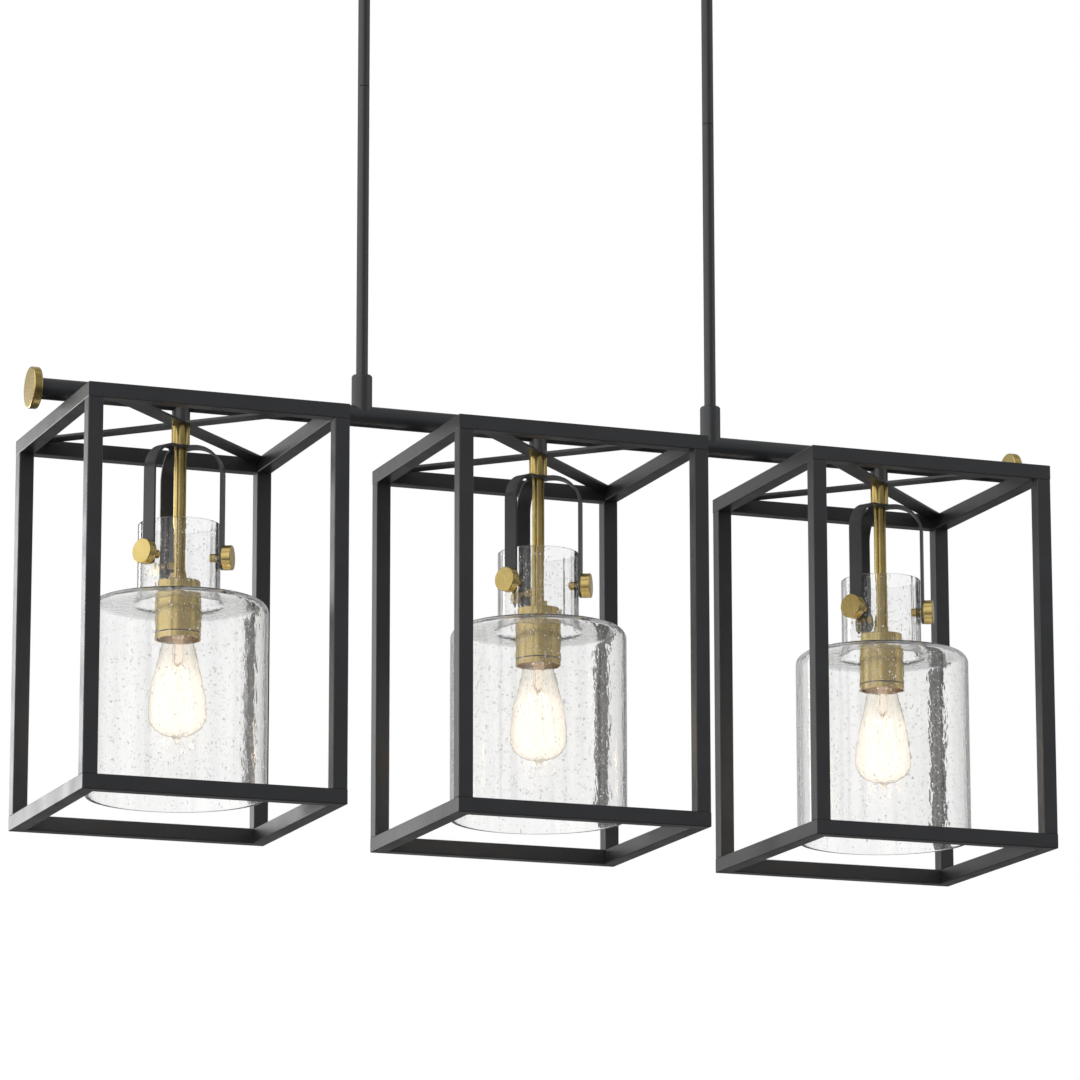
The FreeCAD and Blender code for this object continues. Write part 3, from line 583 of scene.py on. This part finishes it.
def wave_maker(random, even):
    """A function that makes the outline's points after the even ones wavy, in upright ripples."""
    counts = np.arange(WAVE_COUNTS[0], WAVE_COUNTS[1] + 1)
    heights = random.normal(size=counts.size) / np.sqrt(counts)
    heights *= WAVE_HEIGHT / np.sqrt(np.sum(heights ** 2))
    phases = random.uniform(0, 2 * math.pi, counts.size)
    drifts = random.normal(scale=WAVE_DRIFT, size=counts.size)

    def wavy(index, radius, level, turn):
        if index < even:
            return radius
        return radius + float(np.sum(heights * np.cos(counts * turn + phases + drifts * level)))

    return wavy


def near_hole(turn, level):
    """True where a bubble would break into a screw hole."""
    for azimuth in SCREW_AZIMUTHS:
        across = NECK_RADIUS * math.remainder(turn - math.radians(azimuth), 2 * math.pi)
        if math.hypot(across, level + SCREW_BELOW_RIM) < HOLE_MARGIN:
            return True
    return False


def bubble_places(random, length):
    """Places and half sides of the bubbles, spread evenly over the neck, the shoulder and the body."""
    body_radius = shade_radius()
    neck_middle, body_middle = NECK_RADIUS - GLASS_WALL / 2, body_radius - GLASS_WALL / 2
    neck_low, body_top = -NECK_LENGTH + NECK_FILLET, -NECK_LENGTH - SHOULDER_FILLET
    inner, outer = NECK_RADIUS + NECK_FILLET, body_radius - SHOULDER_FILLET
    areas = np.array([
        neck_middle * (-neck_low - 2 * GLASS_RIM),
        (outer ** 2 - inner ** 2) / 2,
        body_middle * (length + body_top - 2 * GLASS_RIM),
    ])
    count = BUBBLES_PER_SHADE
    zones = random.choice((NECK, SHOULDER, BODY), count, p=areas / areas.sum())
    turns = random.uniform(0, 2 * math.pi, count)
    along = random.uniform(0, 1, count)
    sizes = BUBBLE_RADII[0] + (BUBBLE_RADII[1] - BUBBLE_RADII[0]) * random.beta(*BUBBLE_SIZE_SHAPE, count)
    depths = random.uniform(-1, 1, count) * (GLASS_WALL / 2 - BUBBLE_COVER - sizes)
    stretches = random.uniform(*BUBBLE_STRETCHES, count)
    found = []
    for zone, turn, share, size, depth, stretch in zip(zones, turns, along, sizes, depths, stretches):
        sides = (size * BUBBLE_FLATNESS, size, size * stretch)
        if zone == SHOULDER:
            radius = math.sqrt(inner ** 2 + share * (outer ** 2 - inner ** 2))
            level = -NECK_LENGTH - GLASS_WALL / 2 + depth
            sides = (size, size, size * BUBBLE_FLATNESS)
        elif zone == NECK:
            radius, level = neck_middle + depth, neck_low * share - GLASS_RIM * 2 * (1 - share)
        else:
            radius = body_middle + depth
            level = body_top - share * (length + body_top - 2 * GLASS_RIM)
        if zone == NECK and near_hole(turn, level):
            continue
        found.append((turn, radius, level, sides))
    return found


def ball_template(detail):
    """Vertices and inward faces of a small ball."""
    shape = bmesh.new()
    bmesh.ops.create_icosphere(shape, subdivisions=detail, radius=1.0)
    vertices = np.array([tuple(v.co) for v in shape.verts])
    faces = np.array([[v.index for v in reversed(face.verts)] for face in shape.faces])
    shape.free()
    return vertices, faces


def bubble_mesh(random, length):
    """One mesh of all bubbles: closed cavities whose faces look inwards."""
    coarse, fine = ball_template(1), ball_template(2)
    vertices, faces, count = [], [], 0
    for turn, radius, level, sides in bubble_places(random, length):
        template, cells = fine if sides[1] > ROUND_BUBBLE_RADIUS else coarse
        local = template * np.array(sides)
        cos, sin = math.cos(turn), math.sin(turn)
        x = (radius + local[:, 0]) * cos - local[:, 1] * sin
        y = (radius + local[:, 0]) * sin + local[:, 1] * cos
        vertices.append(np.stack([x, y, level + local[:, 2]], -1))
        faces.append(cells + count)
        count += len(template)
    mesh = bpy.data.meshes.new("bubbles")
    mesh.from_pydata(np.concatenate(vertices).tolist(), [], np.concatenate(faces).tolist())
    mesh.shade_smooth()
    return mesh


def hole_cutter():
    """Three pegs where the screws pass the neck."""
    shape = bmesh.new()
    out = Matrix.Translation((NECK_RADIUS, 0, -SCREW_BELOW_RIM))
    lie = Matrix.Rotation(math.radians(90), 4, "Y")
    for azimuth in SCREW_AZIMUTHS:
        turn = Matrix.Rotation(math.radians(azimuth), 4, "Z")
        bmesh.ops.create_cone(
            shape, cap_ends=True, segments=HOLE_SEGMENTS, radius1=GLASS_HOLE_RADIUS,
            radius2=GLASS_HOLE_RADIUS, depth=6 * GLASS_WALL, matrix=turn @ out @ lie)
    mesh = bpy.data.meshes.new("hole_cutter")
    shape.to_mesh(mesh)
    shape.free()
    cutter = bpy.data.objects.new("hole_cutter", mesh)
    bpy.context.scene.collection.objects.link(cutter)
    return cutter


def cut_screw_holes(piece):
    """Cuts the three screw holes through the neck."""
    cutter = hole_cutter()
    cut = piece.modifiers.new("holes", "BOOLEAN")
    cut.operation = "DIFFERENCE"
    cut.object = cutter
    cut.solver = "EXACT"
    bpy.context.view_layer.update()
    result = bpy.data.meshes.new_from_object(piece.evaluated_get(bpy.context.evaluated_depsgraph_get()))
    piece.modifiers.remove(cut)
    piece.data = result
    pegs = cutter.data
    bpy.data.objects.remove(cutter)
    bpy.data.meshes.remove(pegs)


def join_mesh(piece, mesh, material):
    """Adds another mesh's faces to a piece, with a material of their own."""
    own = len(piece.data.polygons)
    shape = bmesh.new()
    shape.from_mesh(piece.data)
    shape.from_mesh(mesh)
    for index, face in enumerate(shape.faces):
        face.material_index = 0 if index < own else 1
    piece.data.materials.append(MATERIALS[material])
    shape.to_mesh(piece.data)
    shape.free()
    bpy.data.meshes.remove(mesh)


def make_shade(lamp, seed):
    """A blown shade with bubbles in its wall."""
    random = np.random.default_rng(seed)
    low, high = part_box("glass_shade_" + lamp)
    length = high.z - low.z
    outline, even = shade_outline(length)
    vertices, faces = lathe(outline, GLASS_SEGMENTS, True, wave_maker(random, even))
    piece = mesh_object("shade_glass_" + lamp, vertices, faces, "seeded_glass")
    cut_screw_holes(piece)
    smooth(piece.data)
    join_mesh(piece, bubble_mesh(random, length), "glass_seeds")
    place = ((low.x + high.x) / 2, 0, high.z)
    return place_piece(piece, place, "hanging_fixture", "seeded_glass", "glass_shade_" + lamp)


# Bulb

def bulb_side(inset):
    """The bulb's side from the cap's edge to its crown, inset by a wall."""
    neck, widest = BULB_NECK_RADIUS - inset, BULB_WIDEST - inset
    rise, drop = widest - neck, BULB_WIDEST_DROP
    fall = BULB_CROWN_DROP - inset - drop
    side = [(neck + out * rise, -down * drop) for out, down in BULB_SIDE]
    side += [(share * widest, -drop - down * fall) for share, down in BULB_CROWN]
    side.append((BULB_CROWN_RADIUS, -drop - fall))
    return side


def bulb_outlines():
    """The envelope's outer skin from its spigot to its tip, and its inner skin back up."""
    outer, inner = bulb_side(0.0), bulb_side(BULB_WALL)
    spigot_in = BULB_SPIGOT_RADIUS - BULB_WALL
    tip_root = (BULB_TIP_RADIUS, -BULB_CROWN_DROP - (BULB_TIP_DROP - BULB_CROWN_DROP) / 3)
    tip_side = (BULB_TIP_RADIUS / 2, -BULB_TIP_DROP + BULB_TIP_END)
    points = [(spigot_in, BULB_SPIGOT), (BULB_SPIGOT_RADIUS, BULB_SPIGOT), (BULB_SPIGOT_RADIUS, BULB_LAP)]
    points += smooth_through(outer, BULB_STEPS)
    points += smooth_through([outer[-1], tip_root, tip_side, (0.0, -BULB_TIP_DROP)], TIP_STEPS)[1:]
    inside = smooth_through(inner, BULB_STEPS)[::-1]
    crown = inside[0]
    back = [(0.0, crown[1]), (crown[0] / 2, crown[1])] + inside
    return points, back + [(spigot_in, -BULB_LAP), points[0]]


def envelope(lamp):
    """The bulb's glass: an outer and an inner skin that meet in the cap."""
    outer, inner = bulb_outlines()
    skins = gather([lathe(outer, BULB_SEGMENTS, False), lathe(inner, BULB_SEGMENTS, False)])
    piece = mesh_object("bulb_envelope_" + lamp, *skins, "bulb_glass", BULB_SMOOTH_ANGLE)
    weld(piece)
    return piece


def mount_outline():
    """The glass mount: a flare in the neck, a press, a rod and a button."""
    top = [(0.0, -MOUNT_TOP[1]), (MOUNT_TOP[0], -MOUNT_TOP[1])]
    flare = smooth_through([(radius, -drop) for radius, drop in MOUNT_FLARE], MOUNT_STEPS)
    press = smooth_through([flare[-1]] + [(radius, -drop) for radius, drop in MOUNT_PRESS], MOUNT_STEPS)
    button = arc((0.0, -MOUNT_ROD_DROP), MOUNT_BUTTON_RADIUS, *MOUNT_BUTTON_TURNS, BUTTON_STEPS)
    end = (0.0, button[-1][1])
    return top + flare + press[1:] + button[:-1] + [end]


def tube_along(points, radius):
    """Vertices and faces of a thin round wire along the points."""
    path = [Vector(point) for point in points]
    vertices, faces = [], []
    for index, point in enumerate(path):
        ahead = path[min(index + 1, len(path) - 1)] - path[max(index - 1, 0)]
        side = ahead.cross(OFF_EVERY_WIRE).normalized()
        over = side.cross(ahead).normalized()
        for k in range(WIRE_SIDES):
            turn = 2 * math.pi * k / WIRE_SIDES
            vertices.append(tuple(point + radius * (math.cos(turn) * side + math.sin(turn) * over)))
    for index in range(len(path) - 1):
        for k in range(WIRE_SIDES):
            a, b = index * WIRE_SIDES + k, index * WIRE_SIDES + (k + 1) % WIRE_SIDES
            faces.append([a, b, b + WIRE_SIDES, a + WIRE_SIDES])
    faces.append(list(range(WIRE_SIDES))[::-1])
    faces.append([len(vertices) - WIRE_SIDES + k for k in range(WIRE_SIDES)])
    return vertices, faces


def gather(parts):
    """Several (vertices, faces) as one."""
    vertices, faces = [], []
    for more, cells in parts:
        count = len(vertices)
        vertices += more
        faces += [[corner + count for corner in cell] for cell in cells]
    return vertices, faces


def filament_corners():
    """The filament's corners: its two ends, and two at each hook, by turns low and high."""
    corners = []
    for index in range(2 * FILAMENT_LEGS):
        turn = 2 * math.pi * (index + 0.5) / (2 * FILAMENT_LEGS)
        upper = index % 4 in (0, 3)
        radius = FILAMENT_TOP_RADIUS if upper else FILAMENT_LOW_RADIUS
        drop = FILAMENT_TOP_DROP if upper else FILAMENT_LOW_DROP
        corners.append((radius * math.cos(turn), radius * math.sin(turn), -drop))
    return corners


def filament():
    """One thread that runs down and up between the hooks in a cage of legs."""
    corners = filament_corners()
    points = []
    for a, b in zip(corners, corners[1:]):
        for step in range(FILAMENT_STEPS):
            share = step / FILAMENT_STEPS
            points.append(tuple(a[k] + (b[k] - a[k]) * share for k in range(3)))
    points.append(corners[-1])
    return tube_along(points, FILAMENT_THICKNESS)


def lead(end):
    """The wire from the press to one end of the filament."""
    near, far = LEAD_REACHES
    start = (end[0] * near, end[1] * near, -LEAD_DROP)
    bend = (end[0] * far, end[1] * far, end[2] + LEAD_RISE)
    return tube_along([start, bend, end], LEAD_THICKNESS)


def hook(a, b):
    """The wire from the rod or its button to the middle between two corners of the filament."""
    middle = tuple((a[k] + b[k]) / 2 for k in range(3))
    drop = MOUNT_ROD_DROP if middle[2] < -MOUNT_ROD_DROP else HOOK_TOP_DROP
    bend = (middle[0] * HOOK_REACH, middle[1] * HOOK_REACH, (middle[2] - drop) / 2)
    return tube_along([(0, 0, -drop), bend, middle], HOOK_THICKNESS)


def hooks():
    """Both leads, and a hook wherever the filament turns."""
    corners = filament_corners()
    wires = [lead(corners[0]), lead(corners[-1])]
    for a, b in zip(corners[1:-1], corners[2:]):
        if a[2] == b[2]:
            wires.append(hook(a, b))
    return gather(wires)


def thread_radius(level, turn):
    """The screw cap's outer radius at a height above its edge and a turn about its axis."""
    low, high = THREAD_FADE * THREAD_PITCH, THREAD_TURNS * THREAD_PITCH
    if level > high:
        share = (level - high) / (CAP_LENGTH - high)
        return CAP_ROOT_RADIUS + (CAP_TOP_RADIUS - CAP_ROOT_RADIUS) * share ** CAP_TAPER
    fade = min(1.0, max(0.0, level / low - 0.5), (high - level) / low)
    wave = 0.5 + 0.5 * math.cos(2 * math.pi * level / THREAD_PITCH - turn)
    return CAP_ROOT_RADIUS + fade * wave * (CAP_CREST_RADIUS - CAP_ROOT_RADIUS)


def screw_cap():
    """The thin rolled cap with its helical thread, open below and above."""
    rows = math.ceil(CAP_LENGTH / THREAD_PITCH * THREAD_ROWS_PER_TURN)
    levels = [CAP_LENGTH * row / rows for row in range(rows + 1)]
    outline = [(CAP_ROOT_RADIUS, level) for level in levels + levels[::-1]]

    def reach(index, radius, level, turn):
        wall = CAP_WALL if index >= len(levels) else 0.0
        return thread_radius(level, turn) - wall

    return lathe(outline, THREAD_SEGMENTS, True, reach)


def make_bulb(lamp):
    """One bulb: envelope, mount, filament and hooks on the glass, and the threaded cap."""
    body = "bulb_" + lamp + "_body"
    low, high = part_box("bulb_cap_" + lamp)
    place = ((low.x + high.x) / 2, 0, low.z)
    place_piece(envelope(lamp), place, body, "bulb_glass", "bulb_glass_" + lamp)
    mount = mesh_object("bulb_mount_" + lamp, *lathe(mount_outline(), MOUNT_SEGMENTS, False), "mount_glass")
    weld(mount)
    place_piece(mount, place, body, "bulb_glass")
    thread = mesh_object("bulb_filament_" + lamp, *filament(), "glowing_filament")
    place_piece(thread, place, body, "bulb_glass")
    wires = mesh_object("bulb_hooks_" + lamp, *hooks(), "hook_wire")
    place_piece(wires, place, body, "cap_metal")
    cap = mesh_object("bulb_screw_cap_" + lamp, *screw_cap(), "cap_metal")
    weld(cap)
    place_piece(cap, place, body, "cap_metal", "bulb_cap_" + lamp)


# Socket cup

def groove_painted_shade(lamp):
    """A black ring in the groove above the socket cup's lower edge, as painted shade of the groove."""
    low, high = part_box("socket_cup_" + lamp)
    inside, outside = GROOVE_SHADE_RADII
    bottom, top = -GROOVE_SHADE_HEIGHT / 2, GROOVE_SHADE_HEIGHT / 2
    outline = [(inside, bottom), (outside, bottom), (outside, top), (inside, top)]
    turned = lathe(outline, GROOVE_SHADE_SEGMENTS, True)
    # The black ring is painted shade, darkening the groove
    piece = mesh_object("cup_groove_painted_shade_" + lamp, *turned, "black_paint")
    place = ((low.x + high.x) / 2, 0, low.z + GROOVE_SHADE_RISE)
    place_piece(piece, place, "hanging_fixture", "black_paint")


# Surroundings

def floor_material():
    """A floor that looks pale, throws little light back, and is clear when seen from below."""
    material, tree, shader = new_material("pale_floor")
    cloud = noise(tree, own_place(tree), 3.0)
    path = add_node(tree, "LightPath")
    seen = calculated(tree, "MAXIMUM", path.outputs["Is Camera Ray"], path.outputs["Is Transmission Ray"])
    grey = calculated(tree, "MULTIPLY", seen, spread(tree, cloud, *FLOOR_GREYS))
    tree.links.new(calculated(tree, "MAXIMUM", grey, FLOOR_BOUNCE), shader.inputs["Base Color"])
    shader.inputs["Roughness"].default_value = 0.9
    shader.inputs["Specular IOR Level"].default_value = 0.0
    below = add_node(tree, "NewGeometry").outputs["Backfacing"]
    clear = add_node(tree, "BsdfTransparent")
    mix = add_node(tree, "MixShader", {0: below, 1: shader.outputs[0], 2: clear.outputs[0]})
    tree.links.new(mix.outputs[0], tree.nodes["Material Output"].inputs["Surface"])
    return material


def make_floor():
    """A plain round floor well below the fixture."""
    low = cad_box[0].z - FLOOR_BELOW
    turns = [2 * math.pi * step / FLOOR_SEGMENTS for step in range(FLOOR_SEGMENTS)]
    edge = [(FLOOR_RADIUS * math.cos(turn), FLOOR_RADIUS * math.sin(turn), low) for turn in turns]
    mesh = bpy.data.meshes.new("floor")
    mesh.from_pydata(edge, [], [list(range(FLOOR_SEGMENTS))])
    mesh.materials.append(floor_material())
    floor = bpy.data.objects.new("floor", mesh)
    bpy.context.scene.collection.objects.link(floor)


def ramp(tree, factor, stops):
    """A colour ramp of greys."""
    node = add_node(tree, "ValToRGB", {"Fac": factor})
    elements = node.color_ramp.elements
    while len(elements) < len(stops):
        elements.new(0.5)
    for element, (place, grey) in zip(elements, stops):
        element.position = place
        element.color = (grey, grey, grey, 1.0)
    return node.outputs["Color"]


def mirrored_colour(tree, around, rise):
    """What metal and paint mirror from each direction."""
    seen = add_node(tree, "Mix", data_type="RGBA", blend_type="MULTIPLY")
    seen.inputs[0].default_value = 1.0
    tree.links.new(ramp(tree, around, SIDE_LIGHT), seen.inputs[6])
    tree.links.new(ramp(tree, rise, LEVEL_LIGHT), seen.inputs[7])
    return seen.outputs[2]


def make_world():
    """A studio that is white to the camera, nearly so through glass, and bright and dark to metal."""
    world = bpy.data.worlds.new("studio")
    bpy.context.scene.world = world
    world.use_nodes = True
    tree = world.node_tree
    tree.nodes.clear()
    direction = add_node(tree, "TexCoord").outputs["Generated"]
    parts = add_node(tree, "SeparateXYZ", {0: direction})
    turn = calculated(tree, "ARCTAN2", parts.outputs["X"], parts.outputs["Y"])
    around = spread(tree, turn, 0.0, 1.0, -math.pi, math.pi)
    rise = spread(tree, parts.outputs["Z"], 0.0, 1.0, -1.0, 1.0)
    path = add_node(tree, "LightPath")
    mirrored = calculated(tree, "GREATER_THAN", path.outputs["Glossy Depth"], 0.5)
    share = spread(tree, mirrored, 1.0, MIRRORED_CLEAR, 0.0, 1.0)
    through_glass = calculated(tree, "MULTIPLY", path.outputs["Is Transmission Ray"], share)
    by_metal = calculated(tree, "MAXIMUM", path.outputs["Is Glossy Ray"], mirrored)
    looks = (
        (by_metal, mirrored_colour(tree, around, rise), MIRRORED_LIGHT),
        (through_glass, ramp(tree, rise, THROUGH_LIGHT), 1.0),
        (path.outputs["Is Camera Ray"], (1, 1, 1, 1), 1.0),
    )
    mixed = add_node(tree, "Background", {"Color": (1, 1, 1, 1), "Strength": WORLD_LIGHT}).outputs[0]
    for ray, colour, strength in looks:
        background = add_node(tree, "Background", {"Color": colour, "Strength": strength})
        mixed = add_node(tree, "MixShader", {0: ray, 1: mixed, 2: background.outputs[0]}).outputs[0]
    output = add_node(tree, "OutputWorld")
    tree.links.new(mixed, output.inputs["Surface"])


def soft_box(name, place, target, size, power, mirrored=False):
    """A large soft lamp that the camera and glass don't see."""
    data = bpy.data.lights.new(name, "AREA")
    data.shape = "RECTANGLE"
    data.size, data.size_y = size
    data.energy = power
    lamp = bpy.data.objects.new(name, data)
    lamp.location = place
    lamp.rotation_euler = (Vector(target) - Vector(place)).to_track_quat("-Z", "Y").to_euler()
    lamp.visible_camera = False
    lamp.visible_glossy = mirrored
    lamp.visible_transmission = False
    bpy.context.scene.collection.objects.link(lamp)


def make_camera():
    """The photograph's viewpoint: below the cages, to their left, looking up."""
    forward = Vector((math.sin(CAMERA_YAW) * math.cos(CAMERA_PITCH),
                      math.cos(CAMERA_YAW) * math.cos(CAMERA_PITCH), math.sin(CAMERA_PITCH)))
    right = Vector((math.cos(CAMERA_YAW), -math.sin(CAMERA_YAW), 0))
    up = right.cross(forward)
    tilted_right = math.cos(CAMERA_ROLL) * right + math.sin(CAMERA_ROLL) * up
    tilted_up = -math.sin(CAMERA_ROLL) * right + math.cos(CAMERA_ROLL) * up
    data = bpy.data.cameras.new("camera")
    data.lens = CAMERA_LENS
    data.sensor_width = SENSOR_WIDTH
    camera = bpy.data.objects.new("camera", data)
    turned = Matrix((tilted_right, tilted_up, -forward)).transposed().to_4x4()
    camera.matrix_world = Matrix.Translation(CAMERA_PLACE) @ turned
    bpy.context.scene.collection.objects.link(camera)
    bpy.context.scene.camera = camera


dress_solids()
for number, name in enumerate(LAMPS):
    make_shade(name, SHADE_SEED + number)
    make_bulb(name)
    groove_painted_shade(name)
make_floor()
make_world()
for name, box in SOFT_BOXES.items():
    soft_box(name, **box)
make_camera()
bpy.context.scene.view_settings.view_transform = "Standard"

bpy.context.view_layer.update()
